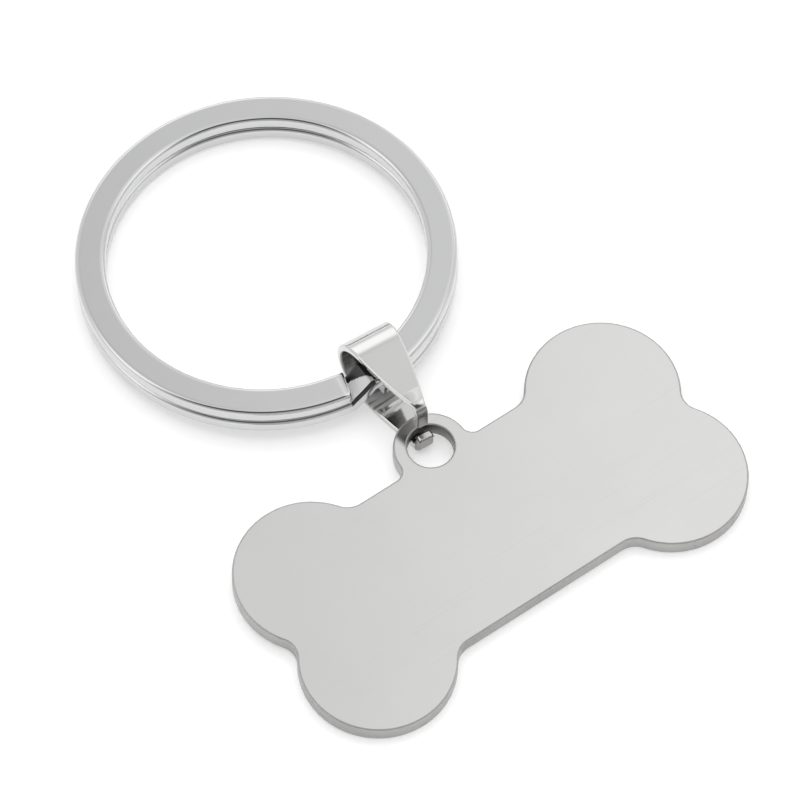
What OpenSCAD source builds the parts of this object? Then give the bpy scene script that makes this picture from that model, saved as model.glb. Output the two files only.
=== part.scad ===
// Bone-shaped pet tag on a snap bail and a split ring, lying flat as it would on a table.
// Millimetres, +Z up. The origin is the middle of the footprint, on the surface it lies on.
// The tag's length runs along X, and the ring lies beyond the tag's ear, towards +Y.

/* [Bone tag] */
// Length of the tag, over the two pairs of lobes
tag_l = 39.7; // [36:0.1:44]
// Width of the tag, over one pair of lobes and without the ear
tag_w = 20.9; // [19.6:0.1:22]
// Thickness of the sheet that the tag is stamped from
tag_t = 1.5; // [1:0.1:1.8]
// Radius of each round lobe
lobe_r = 6.1; // [5.4:0.1:6.6]
// Width of the tag between its two straight long edges
waist_w = 14.2; // [12:0.1:16]
// Radius of the small hollows where the straight edges meet the lobes
waist_fillet_r = 1.8; // [0.6:0.1:2.4]
// Radius of the hollow between the two lobes of each end
end_fillet_r = 1.6; // [0.8:0.1:2.2]

/* [Ear] */
// Distance of the ear's centre from the middle of the tag
ear_y = 7.9; // [7.4:0.1:8.6]
// Outer radius of the ear
ear_r = 3; // [2.8:0.05:3.4]
// Radius of the hollows beside the ear
ear_fillet_r = 0.9; // [0.4:0.1:1.4]
// Distance of the hole's centre from the middle of the tag
hole_y = 8.05; // [7.8:0.05:8.4]
// Radius of the hole through the ear
hole_r = 1.83; // [1.78:0.01:2]

/* [Snap bail] */
// Thickness of the strip that the bail is folded from
strip_t = 0.6; // [0.5:0.05:0.7]
// Height of the folded bail, outside
bail_h = 6.3; // [6.1:0.1:7]
// Distance from the hole's centre to the centre of the round fold
fold_y = 7.35; // [6.8:0.05:8.5]
// Greatest width of the strip, at the fold
strip_w = 4.4; // [4:0.1:5]
// Radius of the two curved edges that narrow the strip towards its ends
taper_r = 32; // [29:0.5:40]
// How far past the fold's centre the strip would be at its widest
taper_past = 4.7; // [4:0.1:5.3]
// Width of the narrow prong at each end of the strip
prong_w = 0.95; // [0.8:0.05:1]
// Height of each prong, from the outside of its leg to its end
prong_h = 2.7; // [2.3:0.05:2.9]
// Distance from the hole's centre to the outer face of the prongs
prong_y = 1.05; // [0.9:0.05:1.1]
// Outer radius of the bend between a leg and its prong
prong_bend_r = 1.1; // [0.9:0.05:1.3]
// Radius of the corners at a prong's end
prong_corner_r = 0.35; // [0.1:0.05:0.38]

/* [Split ring] */
// Outer diameter of the split ring
ring_d = 30; // [28:0.5:34]
// Width of the flat wire, across the ring
wire_w = 2.4; // [2:0.1:2.5]
// Thickness of the flat wire, along the ring's axis
wire_t = 1.25; // [1:0.05:1.3]
// Radius of the wire's rounded corners
wire_corner_r = 0.35; // [0.1:0.05:0.45]
// Gap between the ring's two coils
coil_gap = 0.2; // [0.1:0.05:0.3]
// Length along the ring of the step from the lower coil to the upper one
step_l = 1.8; // [1.6:0.1:2.4]
// Inner radius of the step's two bends
step_bend_r = 0.1; // [0.05:0.05:0.15]
// Distance along the ring from the middle of the bail to the upper coil's cut end
upper_end_l = 3.4; // [3:0.1:4]
// Distance along the ring from the middle of the bail to the lower coil's cut end
lower_end_l = 0.6; // [0.2:0.1:1]

/* [How it lies] */
// Turn of the bail and the ring from the tag's centre line
bail_turn = 4.3; // [0:0.1:15]
// How far the ring's centre is off the bail's centre line
ring_shift = 2.3; // [0:0.1:3]
// Height of the ear's underside above the leg that passes under it
ear_gap = 0.3; // [0.25:0.05:0.4]
// Height of the ring above the inside of the fold
ring_gap = 0.45; // [0.35:0.05:0.6]

/* [Hidden] */
$fn = 96;
steel = [0.8, 0.8, 0.79];
bright_steel = [0.86, 0.86, 0.86];
dark_steel = [0.7, 0.7, 0.7];

// Overrun of every cut past the face that it opens
overrun = 0.4;
// How far each hollow of the tag's outline cuts into the edges that it joins
hollow_bite = 0.008;

// Places on the tag, measured from the middle of its outline
lobe_x = tag_l / 2 - lobe_r;
lobe_y = tag_w / 2 - lobe_r;
waist_y = waist_w / 2;
waist_fillet_y = waist_y + waist_fillet_r;
waist_fillet_x = lobe_x - leg_of(lobe_r + waist_fillet_r, waist_fillet_y - lobe_y);
end_fillet_x = lobe_x + leg_of(lobe_r + end_fillet_r, lobe_y);
ear_fillet_y = waist_y + ear_fillet_r;
ear_fillet_x = leg_of(ear_r + ear_fillet_r, ear_fillet_y - ear_y);

// The tag stands on its near lobes and leans on the bail's lower leg, which lifts its ear
tag_tilt = asin((strip_t + ear_gap) / (hole_y + hole_r + tag_w / 2));
hole_level_y = (hole_y + tag_w / 2) * cos(tag_tilt) - tag_t / 2 * sin(tag_tilt) - tag_w / 2;

// The bail lies on its lower leg, and its round fold holds the ring
fold_r = bail_h / 2;
fold_inner_r = fold_r - strip_t;
bend_y = prong_y + prong_bend_r;

// The ring lies on its far side, and its near side is inside the fold
ring_r = ring_d / 2;
ring_inner_r = ring_r - wire_w;
wire_mid_r = ring_r - wire_w / 2;
coil_pitch = wire_t + coil_gap;
ring_t = wire_t + coil_pitch;
seat_z = fold_r - leg_of(fold_inner_r, wire_w / 2);
ring_tilt = asin((seat_z + ring_gap) / (ring_r + ring_inner_r));
ring_y = fold_y + leg_of(wire_mid_r, ring_shift);
ring_z = reach_of(cos(ring_tilt), sin(ring_tilt));

// Angles round the ring, from the point where its wire crosses the bail
crossing_angle = atan2(fold_y - ring_y, ring_shift);
upper_end_angle = arc_angle(upper_end_l);
lower_end_angle = arc_angle(lower_end_l);
step_angle = arc_angle(step_l);
step_low_angle = upper_end_angle;
step_high_angle = step_low_angle - step_angle;

// The step is two equal bends with a straight slope between them
step_mid_r = step_bend_r + wire_t / 2;
step_drop = coil_pitch - 2 * step_mid_r;
step_span = sqrt(step_l * step_l + step_drop * step_drop);
step_slope = atan2(step_drop, step_l) + asin(2 * step_mid_r / step_span);
slope_l = leg_of(step_span, 2 * step_mid_r);

// Middle of the whole part along Y, which the origin stands under
ring_level_y = hole_level_y + ring_y * cos(bail_turn) + ring_shift * sin(bail_turn);
ring_lean = sin(ring_tilt) * cos(bail_turn);
far_y = ring_level_y + reach_of(ring_lean, sqrt(1 - ring_lean * ring_lean));
near_y = -tag_w / 2 - tag_t * sin(tag_tilt);
middle_y = (far_y + near_y) / 2;

// Other short side of a right triangle, from its long side and one short side
function leg_of(long, short) = sqrt(long * long - short * short);
// Angle of an arc of this length along the middle of the ring's wire
function arc_angle(length) = length / wire_mid_r * 180 / PI;
// How far the round-edged ring reaches from its centre, in a direction that lies so much
// along the ring's axis and so much across it
function reach_of(along, across) = (ring_t / 2 - wire_corner_r) * along
    + (ring_r - wire_corner_r) * across + wire_corner_r;

// Puts the tag's own outline frame where the tag leans on the bail
module on_tag() {
    translate([0, -tag_w / 2 - middle_y, 0])
        rotate([tag_tilt, 0, 0])
            translate([0, tag_w / 2, 0])
                children();
}

// Puts the bail's own frame at the hole, with its Y along the bail, towards the fold
module on_bail() {
    translate([0, hole_level_y - middle_y, 0])
        rotate([0, 0, -bail_turn])
            children();
}

// Puts the ring's own frame at the ring's centre, tilted as the ring lies
module on_ring() {
    on_bail()
        translate([-ring_shift, ring_y, ring_z])
            rotate([-ring_tilt, 0, 0])
                children();
}

// Straight-sided core of the tag, whose corners are the centres of its rounds and hollows
module tag_core() {
    right_edge = [[0, ear_y], [ear_fillet_x, ear_fillet_y], [ear_fillet_x, waist_y],
        [waist_fillet_x, waist_y], [waist_fillet_x, waist_fillet_y], [lobe_x, lobe_y],
        [end_fillet_x, 0], [lobe_x, -lobe_y], [waist_fillet_x, -waist_fillet_y],
        [waist_fillet_x, -waist_y]];
    left_edge = [for (i = [len(right_edge) - 1 : -1 : 1])
        [-right_edge[i][0], right_edge[i][1]]];
    polygon(concat(right_edge, left_edge));
}

// A round cut of this radius, right through the tag's thickness
module through(r) {
    translate([0, 0, -overrun]) cylinder(h = tag_t + 2 * overrun, r = r);
}

// The hollows of the tag's outline: beside its straight edges, at its ends, beside its ear
module tag_hollows() {
    for (side = [-1, 1]) {
        for (end = [-1, 1])
            translate([side * waist_fillet_x, end * waist_fillet_y])
                through(waist_fillet_r + hollow_bite);
        translate([side * end_fillet_x, 0]) through(end_fillet_r + hollow_bite);
        translate([side * ear_fillet_x, ear_fillet_y])
            through(ear_fillet_r + hollow_bite);
    }
}

module bone_tag() {
    color(steel)
        on_tag()
            difference() {
                union() {
                    linear_extrude(tag_t) tag_core();
                    for (side = [-1, 1], end = [-1, 1])
                        translate([side * lobe_x, end * lobe_y])
                            cylinder(h = tag_t, r = lobe_r);
                    translate([0, ear_y]) cylinder(h = tag_t, r = ear_r);
                }
                tag_hollows();
                translate([0, hole_y]) through(hole_r);
            }
}

// Side view of the bail's folded outline, drawn in Y and Z and set in by a thickness
module fold_outline(inset) {
    translate([fold_y, fold_r]) circle(r = fold_r - inset);
    translate([bend_y, inset]) square([fold_y - bend_y, bail_h - 2 * inset]);
    translate([prong_y + inset, prong_bend_r])
        square([bend_y - prong_y, bail_h - 2 * prong_bend_r]);
    for (z = [prong_bend_r, bail_h - prong_bend_r])
        translate([bend_y, z]) circle(r = prong_bend_r - inset);
}

// The folded strip at its full width all along
module folded_strip() {
    rotate([90, 0, 90])
        translate([0, 0, -strip_w / 2 - overrun])
            linear_extrude(strip_w + 2 * overrun)
                difference() {
                    fold_outline(0);
                    fold_outline(strip_t);
                }
}

// Top view of the strip: two long curves that close in on the narrow prongs
module strip_outline() {
    intersection_for(side = [-1, 1])
        translate([side * (taper_r - strip_w / 2), fold_y + taper_past]) circle(r = taper_r);
    translate([-prong_w / 2, prong_y - overrun]) square([prong_w, bend_y - prong_y]);
}

// Front view of a prong's round-cornered end, with its tip at zero height
module prong_end() {
    corner_x = prong_w / 2 - prong_corner_r;
    for (side = [-1, 1])
        translate([side * corner_x, -prong_corner_r]) circle(r = prong_corner_r);
    translate([-corner_x, -prong_corner_r]) square([2 * corner_x, prong_corner_r]);
}

// What is cut away between the two prongs
module prong_mouth() {
    rotate([90, 0, 0])
        translate([0, 0, -bend_y])
            linear_extrude(bend_y)
                difference() {
                    translate([-strip_w / 2, prong_h - prong_corner_r])
                        square([strip_w, bail_h - 2 * prong_h + 2 * prong_corner_r]);
                    translate([0, prong_h]) prong_end();
                    translate([0, bail_h - prong_h]) mirror([0, 1]) prong_end();
                }
}

module snap_bail() {
    color(bright_steel)
        on_bail()
            difference() {
                intersection() {
                    folded_strip();
                    translate([0, 0, -overrun])
                        linear_extrude(bail_h + 2 * overrun) strip_outline();
                }
                prong_mouth();
            }
}

// Section of the flat wire with rounded corners, from the ring's inner radius outwards
module wire_section() {
    translate([ring_inner_r + wire_corner_r, 0])
        square([wire_w - 2 * wire_corner_r, wire_t]);
    translate([ring_inner_r, wire_corner_r])
        square([wire_w, wire_t - 2 * wire_corner_r]);
    for (x = [ring_inner_r + wire_corner_r, ring_r - wire_corner_r])
        for (y = [wire_corner_r, wire_t - wire_corner_r])
            translate([x, y]) circle(r = wire_corner_r);
}

// One flat turn of the wire, from one angle round to another
module coil(from_angle, to_angle, z) {
    translate([0, 0, z])
        rotate([0, 0, from_angle])
            rotate_extrude(angle = to_angle - from_angle) wire_section();
}

// One bend of the step, from level wire on its left up to the slope
module step_bend() {
    reach = 2 * (step_bend_r + wire_t);
    translate([0, step_bend_r + wire_t])
        intersection() {
            difference() {
                circle(r = step_bend_r + wire_t);
                circle(r = step_bend_r);
            }
            polygon([[0, 0], [0, -reach],
                [reach * sin(step_slope), -reach], [reach * sin(step_slope),
                -reach * cos(step_slope)]]);
        }
}

// Side view of half the step, up to the middle of its slope
module half_step() {
    translate([-coil_gap, 0]) square([coil_gap, wire_t]);
    step_bend();
    translate([step_l / 2, (coil_pitch + wire_t) / 2])
        rotate([0, 0, step_slope])
            translate([-slope_l / 2, -wire_t / 2]) square([slope_l / 2, wire_t]);
}

// Side view of the whole step between the coils, drawn along the ring and up
module step_outline() {
    half_step();
    translate([step_l, coil_pitch + wire_t]) rotate([0, 0, 180]) half_step();
}

// The step itself: that side view pushed through the ring's width
module coil_step() {
    intersection() {
        rotate([0, 0, crossing_angle - step_low_angle])
            translate([wire_mid_r - wire_w, 0, -ring_t / 2])
                rotate([90, 0, 90])
                    linear_extrude(2 * wire_w) step_outline();
        difference() {
            cylinder(h = 2 * ring_t, r = ring_r, center = true);
            cylinder(h = 3 * ring_t, r = ring_inner_r, center = true);
        }
    }
}

module split_ring() {
    color(dark_steel)
        on_ring() {
            coil(crossing_angle - step_high_angle, crossing_angle + 360 - upper_end_angle,
                coil_gap / 2);
            coil(crossing_angle - lower_end_angle, crossing_angle + 360 - step_low_angle,
                -ring_t / 2);
            coil_step();
        }
}

bone_tag();
snap_bail();
split_ring();
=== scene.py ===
"""A blank bone tag on its folded bail and split ring, all polished steel, lying on a pale table."""

import logging
import math
from contextlib import contextmanager
from dataclasses import dataclass
from enum import Enum, IntEnum
from typing import Callable, Iterator, Mapping, Sequence

import bpy
from mathutils import Matrix, Vector

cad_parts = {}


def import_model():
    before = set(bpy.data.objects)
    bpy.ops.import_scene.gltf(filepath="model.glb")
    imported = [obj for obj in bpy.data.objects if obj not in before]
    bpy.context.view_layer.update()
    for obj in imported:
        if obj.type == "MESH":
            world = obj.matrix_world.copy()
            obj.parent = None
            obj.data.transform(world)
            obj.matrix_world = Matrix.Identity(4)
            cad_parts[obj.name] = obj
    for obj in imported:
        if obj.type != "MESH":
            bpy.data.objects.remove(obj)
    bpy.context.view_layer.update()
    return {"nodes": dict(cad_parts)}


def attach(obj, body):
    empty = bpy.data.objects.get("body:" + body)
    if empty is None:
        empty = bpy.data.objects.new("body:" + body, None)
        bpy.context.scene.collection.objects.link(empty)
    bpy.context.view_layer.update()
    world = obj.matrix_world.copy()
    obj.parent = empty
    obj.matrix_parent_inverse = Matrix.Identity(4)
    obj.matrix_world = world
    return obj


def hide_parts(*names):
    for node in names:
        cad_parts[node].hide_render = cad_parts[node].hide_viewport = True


LOG = logging.getLogger("pet_tag")
MM = 0.001
SHARP_DEG = 50
SMOOTH_DEG = 40
WELD = 0.002 * MM
MIRROR_WELD = 0.004 * MM
WHITE = (1.0, 1.0, 1.0, 1.0)

Socket = bpy.types.NodeSocket
Triple = tuple[float, float, float]
Pair = tuple[float, float]
Station = tuple[Vector, float, float]


class Part(Enum):
    """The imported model's parts, each by its node, its body and its material slot."""

    TAG = ("bone_tag", "tag", "tag_steel")
    BAIL = ("snap_bail", "bail", "bail_steel")
    RING = ("split_ring", "ring", "ring_steel")


class TagFinish(IntEnum):
    """Finishes of the tag, in the order of its materials."""

    FACE = 0
    WALL = 1
    RIM = 2
    # Painted shade: the hole's wall, darker than the other walls.
    HOLE = 3


class BailFinish(IntEnum):
    """Finishes of the bail, in the order of its materials."""

    BRIGHT = 0
    # Painted shade: the dark inside of the fold and the prongs.
    ROOF = 1
    GROUND = 2
    # Painted light: the scuffed strip under the ring, lighter and streaky in its shade.
    SCUFFED = 3


class RingFinish(IntEnum):
    """Finishes of the ring, in the order of its materials."""

    BRIGHT = 0
    # Painted light: the cut ends, rough as sheared steel and painted lighter than steel.
    SHEARED = 1
    # Painted light: the step's slope, painted lighter than the wire.
    PRESSED = 2
    # Painted shade: the step's inner side and outer corner, shaded inside the bail's fold.
    HOLLOW = 3
    # Painted light: the underside at the step, painted lighter where it lies in shade on the bail.
    UNDER = 4


class Bench:
    """Short names for the modelling steps that every piece uses."""

    @staticmethod
    def clear() -> None:
        """Deselects every object."""
        if bpy.context.object and bpy.context.object.mode != "OBJECT":
            bpy.ops.object.mode_set(mode="OBJECT")
        bpy.ops.object.select_all(action="DESELECT")

    @staticmethod
    def take(obj: bpy.types.Object) -> None:
        """Makes one object the only selected and active one.

        Args:
            obj: the object to work on.
        """
        Bench.clear()
        obj.select_set(True)
        bpy.context.view_layer.objects.active = obj

    @staticmethod
    def added(name: str) -> bpy.types.Object:
        """Names the primitive that was just added.

        Args:
            name: the name of the new object and its mesh.

        Returns:
            The new object.
        """
        obj = bpy.context.object
        obj.name = name
        obj.data.name = name
        return obj

    @staticmethod
    @contextmanager
    def editing(obj: bpy.types.Object, mode: str) -> Iterator[None]:
        """Opens an object in edit mode with nothing selected.

        Args:
            obj: the object to edit.
            mode: the select mode, VERT, EDGE or FACE.

        Yields:
            Nothing; the object leaves edit mode afterwards.
        """
        Bench.take(obj)
        bpy.ops.object.mode_set(mode="EDIT")
        bpy.ops.mesh.select_mode(type=mode)
        bpy.ops.mesh.select_all(action="DESELECT")
        yield
        bpy.ops.object.mode_set(mode="OBJECT")

    @staticmethod
    @contextmanager
    def picking(obj: bpy.types.Object, mode: str,
                wanted: Callable[[bpy.types.MeshEdge | bpy.types.MeshPolygon], bool]
                ) -> Iterator[None]:
        """Opens an object in edit mode with the edges or faces selected that pass a test.

        Args:
            obj: the object to edit.
            mode: the select mode, EDGE or FACE.
            wanted: says whether an edge or face is selected.

        Yields:
            Nothing; the object leaves edit mode afterwards.
        """
        with Bench.editing(obj, mode):
            pass
        for item in obj.data.edges if mode == "EDGE" else obj.data.polygons:
            item.select = wanted(item)
        bpy.ops.object.mode_set(mode="EDIT")
        yield
        bpy.ops.object.mode_set(mode="OBJECT")

    @staticmethod
    def modify(obj: bpy.types.Object, kind: str, **settings: object) -> None:
        """Adds a modifier with these settings and applies it.

        Args:
            obj: the object to change.
            kind: Blender's modifier type.
            settings: the modifier's properties.
        """
        Bench.take(obj)
        modifier = obj.modifiers.new(kind.lower(), kind)
        for key, value in settings.items():
            setattr(modifier, key, value)
        bpy.ops.object.modifier_apply(modifier=modifier.name)

    @staticmethod
    def bevel(radius: float, segments: int, held_back: bool = True) -> None:
        """Rounds the selected edges.

        Args:
            radius: the radius of the rounding, in metres.
            segments: how many strips of faces the rounding has.
            held_back: whether short neighbouring edges may make the radius smaller.
        """
        bpy.ops.mesh.bevel(offset=radius, offset_type="OFFSET", segments=segments,
                           profile=0.5, affect="EDGES", clamp_overlap=held_back)

    @staticmethod
    def round_sharp_edges(obj: bpy.types.Object, radius: float, segments: int,
                          held_back: bool = True) -> None:
        """Rounds every sharp edge of an object.

        Args:
            obj: the object to change.
            radius: the radius of the rounding, in metres.
            segments: how many strips of faces the rounding has.
            held_back: whether short neighbouring edges may make the radius smaller.
        """
        with Bench.editing(obj, "EDGE"):
            bpy.ops.mesh.edges_select_sharp(sharpness=math.radians(SHARP_DEG))
            Bench.bevel(radius, segments, held_back)

    @staticmethod
    def face_outwards() -> None:
        """Turns every face of the mesh in edit mode outwards."""
        bpy.ops.mesh.select_all(action="SELECT")
        bpy.ops.mesh.normals_make_consistent(inside=False)

    @staticmethod
    def settle(obj: bpy.types.Object, place: Matrix) -> None:
        """Puts a finished piece's place into its mesh and smooths its shading.

        Args:
            obj: the piece, modelled round the origin.
            place: where it goes in the frame.
        """
        with Bench.editing(obj, "VERT"):
            bpy.ops.mesh.select_all(action="SELECT")
            bpy.ops.mesh.remove_doubles(threshold=WELD)
            Bench.face_outwards()
        Bench.take(obj)
        bpy.ops.object.shade_smooth_by_angle(angle=math.radians(SMOOTH_DEG))
        Bench.modify(obj, "WEIGHTED_NORMAL", mode="FACE_AREA", weight=60, keep_sharp=True)
        obj.matrix_world = place @ obj.matrix_world
        Bench.take(obj)
        bpy.ops.object.transform_apply(location=True, rotation=True, scale=True)

    @staticmethod
    def extrude(x: float, y: float, z: float) -> None:
        """Extrudes what is selected by a move."""
        bpy.ops.mesh.extrude_region_move(TRANSFORM_OT_translate={"value": (x, y, z)})

    @staticmethod
    def turn(angle: float, axis: str, pivot: Sequence[float]) -> None:
        """Turns what is selected, counter-clockwise as seen from the axis's far end.

        Args:
            angle: the turn, in radians. Without a window the operator turns the other way.
            axis: the global axis, X, Y or Z.
            pivot: the point that it turns about.
        """
        bpy.ops.transform.rotate(value=-angle, orient_axis=axis, orient_type="GLOBAL",
                                 center_override=tuple(pivot))

    @staticmethod
    def resize(scale: Sequence[float], pivot: Sequence[float]) -> None:
        """Scales what is selected about a point."""
        bpy.ops.transform.resize(value=tuple(scale), orient_type="GLOBAL",
                                 center_override=tuple(pivot))


@dataclass(frozen=True)
class Lie:
    """How the three pieces lie on the table, in millimetres and degrees."""

    strip: float = 0.6
    ear_gap: float = 0.3
    hole_y: float = 8.05
    hole_r: float = 1.83
    tag_w: float = 20.9
    tag_t: float = 1.5
    bail_turn: float = 4.3
    bail_h: float = 6.3
    fold_y: float = 7.35
    ring_shift: float = 2.3
    ring_gap: float = 0.45
    ring_r: float = 15.0
    wire_w: float = 2.4
    wire_t: float = 1.25
    coil_gap: float = 0.2
    wire_corner: float = 0.35
    middle_y: float = 16.791140

    @property
    def tag_tilt(self) -> float:
        """Lean of the tag, in radians."""
        return math.asin((self.strip + self.ear_gap)
                         / (self.hole_y + self.hole_r + self.tag_w / 2))

    @property
    def hole_level_y(self) -> float:
        """Distance of the hole's middle from the tag's middle, seen from above."""
        return ((self.hole_y + self.tag_w / 2) * math.cos(self.tag_tilt)
                - self.tag_t / 2 * math.sin(self.tag_tilt) - self.tag_w / 2)

    @property
    def ring_t(self) -> float:
        """Height of the two coils together."""
        return 2 * self.wire_t + self.coil_gap

    @property
    def ring_tilt(self) -> float:
        """Lean of the ring, in radians."""
        fold_r = self.bail_h / 2
        inner = fold_r - self.strip
        seat = fold_r - math.sqrt(inner ** 2 - (self.wire_w / 2) ** 2)
        return math.asin((seat + self.ring_gap) / (2 * self.ring_r - self.wire_w))

    @property
    def ring_y(self) -> float:
        """Distance of the ring's middle from the hole, along the bail."""
        mid = self.ring_r - self.wire_w / 2
        return self.fold_y + math.sqrt(mid ** 2 - self.ring_shift ** 2)

    @property
    def ring_z(self) -> float:
        """Height of the ring's middle."""
        c = self.wire_corner
        return ((self.ring_t / 2 - c) * math.cos(self.ring_tilt)
                + (self.ring_r - c) * math.sin(self.ring_tilt) + c)

    def tag_place(self) -> Matrix:
        """Place of the tag's own outline frame.

        Returns:
            The matrix from the tag's frame to the object's frame, in metres.
        """
        half = self.tag_w / 2 * MM
        return (Matrix.Translation((0, -half - self.middle_y * MM, 0))
                @ Matrix.Rotation(self.tag_tilt, 4, "X") @ Matrix.Translation((0, half, 0)))

    def bail_place(self) -> Matrix:
        """Place of the bail's own frame, whose Y runs from the hole to the fold."""
        return (Matrix.Translation((0, (self.hole_level_y - self.middle_y) * MM, 0))
                @ Matrix.Rotation(-math.radians(self.bail_turn), 4, "Z"))

    def ring_place(self) -> Matrix:
        """Place of the ring's own frame, at its middle."""
        move = Vector((-self.ring_shift, self.ring_y, self.ring_z)) * MM
        return (self.bail_place() @ Matrix.Translation(move)
                @ Matrix.Rotation(-self.ring_tilt, 4, "X"))


class Nodes:
    """Adds nodes to one node tree and feeds their inputs."""

    def __init__(self, tree: bpy.types.NodeTree) -> None:
        """Takes the tree that gets the nodes."""
        self.tree = tree

    def add(self, kind: str, inputs: Mapping[str | int, object] | None = None,
            **settings: object) -> bpy.types.Node:
        """Adds a node.

        Args:
            kind: Blender's node type.
            inputs: a plain value or a socket for each input, by name or number.
            settings: the node's properties.

        Returns:
            The new node.
        """
        node = self.tree.nodes.new(kind)
        for key, value in settings.items():
            setattr(node, key, value)
        for label, value in (inputs or {}).items():
            if isinstance(value, Socket):
                self.tree.links.new(value, node.inputs[label])
            else:
                node.inputs[label].default_value = value
        return node

    def math(self, operation: str, *values: object, **settings: object) -> Socket:
        """Result of one step of arithmetic on numbers or sockets."""
        return self.add("ShaderNodeMath", dict(enumerate(values)), operation=operation,
                        **settings).outputs[0]

    def span(self, value: Socket, start: float, stop: float, low: float = 0.0,
             high: float = 1.0, kind: str = "LINEAR") -> Socket:
        """Value that goes from low to high while another goes from start to stop."""
        return self.add("ShaderNodeMapRange", {
            "Value": value, "From Min": start, "From Max": stop, "To Min": low, "To Max": high},
            interpolation_type=kind).outputs["Result"]

    def step(self, value: Socket, edges: Pair, low: float = 0.0,
             high: float = 1.0) -> Socket:
        """Smooth step from low to high between two edges."""
        return self.span(value, *edges, low, high, "SMOOTHSTEP")

    def noise(self, vector: Socket, scale: object, detail: float,
              roughness: float = 0.5) -> Socket:
        """Soft noise, from 0 to 1."""
        return self.add("ShaderNodeTexNoise", {
            "Vector": vector, "Scale": scale, "Detail": detail,
            "Roughness": roughness}).outputs["Fac"]

    def mix(self, factor: Socket, first: object, second: object, kind: str = "FLOAT") -> Socket:
        """Mixes two tones, or two colours where the kind is RGBA."""
        return self.add("ShaderNodeMix", {"Factor": factor, "A": first, "B": second},
                        data_type=kind).outputs["Result"]

    def dot(self, first: Socket, second: object) -> Socket:
        """How far one vector points along another."""
        return self.add("ShaderNodeVectorMath", {0: first, 1: second},
                        operation="DOT_PRODUCT").outputs["Value"]

    def bump(self, height: Socket, distance: float, **normal: Socket) -> Socket:
        """Normal of a surface that rises by a height, over an earlier normal if one is given."""
        return self.add("ShaderNodeBump", {
            "Strength": 1.0, "Distance": distance, "Height": height, **normal}).outputs["Normal"]

    def shader(self, kind: str, *inputs: object) -> Socket:
        """Output of a shader node with these inputs, in their order."""
        return self.add(kind, dict(enumerate(inputs))).outputs[0]


@dataclass(frozen=True)
class Facet:
    """A face in its piece's own frame: its middle in millimetres, its normal, its corners."""

    spot: Vector
    normal: Vector
    corners: int


def warm(tone: float, warmth: float = 0.005) -> Triple:
    """Grey that is a little weaker in green, and weaker again in blue."""
    return tone, tone - warmth, tone - 2 * warmth


@dataclass(frozen=True)
class SteelLook:
    """How one steel surface looks. Heights and radii are in metres."""

    name: str
    colour: Triple
    dull: Triple
    rough: float
    spread: float = 0.2
    grain: Triple = (900, 900, 900)
    grain_height: float = 2e-6
    wave_height: float = 4e-6
    scratches: float = 0.3
    # Colour of the edges: worn edges with a painted highlight on the rims.
    edge: Triple = (0.72, 0.72, 0.715)
    edge_radius: float = 0.14e-3
    metallic: float = 1.0
    # Painted light: how strongly the grain's streak lines lighten the colour, standing in for
    # reflections.
    streaks: float = 0.0


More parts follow.
